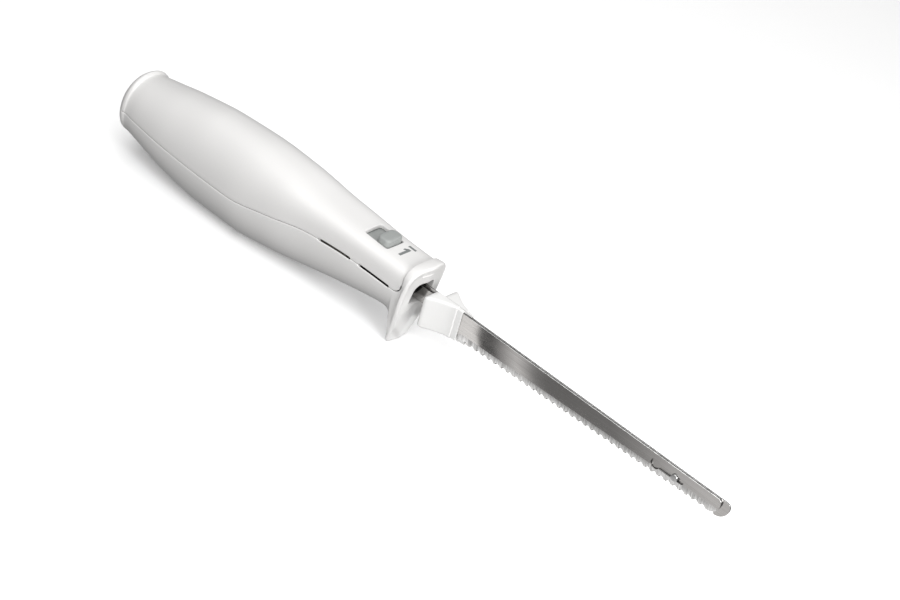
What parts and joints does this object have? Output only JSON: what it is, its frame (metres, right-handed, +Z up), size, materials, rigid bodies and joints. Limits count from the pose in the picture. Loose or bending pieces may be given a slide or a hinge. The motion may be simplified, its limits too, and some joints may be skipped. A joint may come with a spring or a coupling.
{
  "type": "electric carving knife",
  "caption": "Corded electric knife: moulded white handle with a thumb slider and hand guard, worm-driven carriers, and paired serrated blades that slide to and fro beside each other.",
  "frame": {"origin": "on the surface that the knife stands on, under the middle of its length", "axes": "+X along the knife to the blade tips, +Y to the left of the knife, +Z up, with the cutting edge down"},
  "size_m": [0.4654, 0.0508, 0.0633],
  "materials": {
    "housing_plastic": "glossy near-white moulding",
    "hub_plastic": "satin bright white moulding",
    "switch_plastic": "fine-grained grey moulding",
    "black_plastic": "matte black moulding",
    "nylon": "natural nylon",
    "gland_rubber": "soft light grey",
    "blade_steel": "polished faces with a ground edge",
    "plain_steel": "bright zinc",
    "core_iron": "stacked sheet, dark",
    "copper_wire": "varnished copper",
    "holder_brass": "plain brass",
    "bearing_bronze": "oiled sintered bronze",
    "brush_carbon": "matt carbon"
  },
  "bodies": {
    "housing": {"upper_housing": "housing_plastic", "lower_housing": "housing_plastic", "housing_screw_1": "plain_steel", "housing_screw_2": "plain_steel", "housing_screw_3": "plain_steel", "cord_gland": "gland_rubber", "switch_body": "black_plastic", "field_core": "core_iron", "field_coil_left": "copper_wire", "field_coil_right": "copper_wire", "rear_bearing": "bearing_bronze", "front_bearing": "bearing_bronze", "rear_bridge": "nylon", "brush_holder_left": "holder_brass", "brush_holder_right": "holder_brass", "carbon_brush_left": "brush_carbon", "carbon_brush_right": "brush_carbon", "gear_axle": "plain_steel", "gear_frame": "nylon", "carrier_keeper": "plain_steel", "keeper_screw_1": "plain_steel", "keeper_screw_2": "plain_steel"},
    "switch": {"switch_slider": "switch_plastic"},
    "armature": {"armature_shaft": "plain_steel", "armature_core": "core_iron", "armature_winding_rear": "copper_wire", "armature_winding_front": "copper_wire", "commutator": "copper_wire", "cooling_fan": "black_plastic", "worm": "plain_steel"},
    "gear": {"drive_gear": "nylon"},
    "left_carrier": {"left_blade_carrier": "nylon"},
    "right_carrier": {"right_blade_carrier": "nylon"},
    "left_cutter": {"left_blade": "blade_steel", "left_blade_hub": "hub_plastic", "blade_stud": "blade_steel"},
    "right_cutter": {"right_blade": "blade_steel", "right_blade_hub": "hub_plastic"}
  },
  "joints": [
    {"name": "switch_slide", "type": "slide", "parent": "housing", "child": "switch", "axis": [1, 0, 0], "range_m": [-0.008, 0]},
    {"name": "armature_spin", "type": "hinge", "parent": "housing", "child": "armature", "pos_m": [-0.15768, 0, 0.0285], "axis": [1, 0, 0], "continuous": true},
    {"name": "gear_spin", "type": "hinge", "parent": "housing", "child": "gear", "pos_m": [-0.08968, 0, 0.0424], "axis": [0, 1, 0], "continuous": true},
    {"name": "left_stroke", "type": "slide", "parent": "housing", "child": "left_carrier", "axis": [1, 0, 0], "range_m": [-0.0055, 0]},
    {"name": "right_stroke", "type": "slide", "parent": "housing", "child": "right_carrier", "axis": [1, 0, 0], "range_m": [0, 0.0055]},
    {"name": "left_release", "type": "slide", "parent": "left_carrier", "child": "left_cutter", "axis": [1, 0, 0], "range_m": [0, 0.05]},
    {"name": "right_release", "type": "slide", "parent": "right_carrier", "child": "right_cutter", "axis": [1, 0, 0], "range_m": [0, 0.05]}
  ],
  "couplings": [
    {"joint": "gear_spin", "follows": "armature_spin", "ratio": 0.05},
    {"joint": "right_stroke", "follows": "left_stroke", "ratio": -1},
    {"joint": "right_release", "follows": "left_release", "ratio": 1}
  ]
}
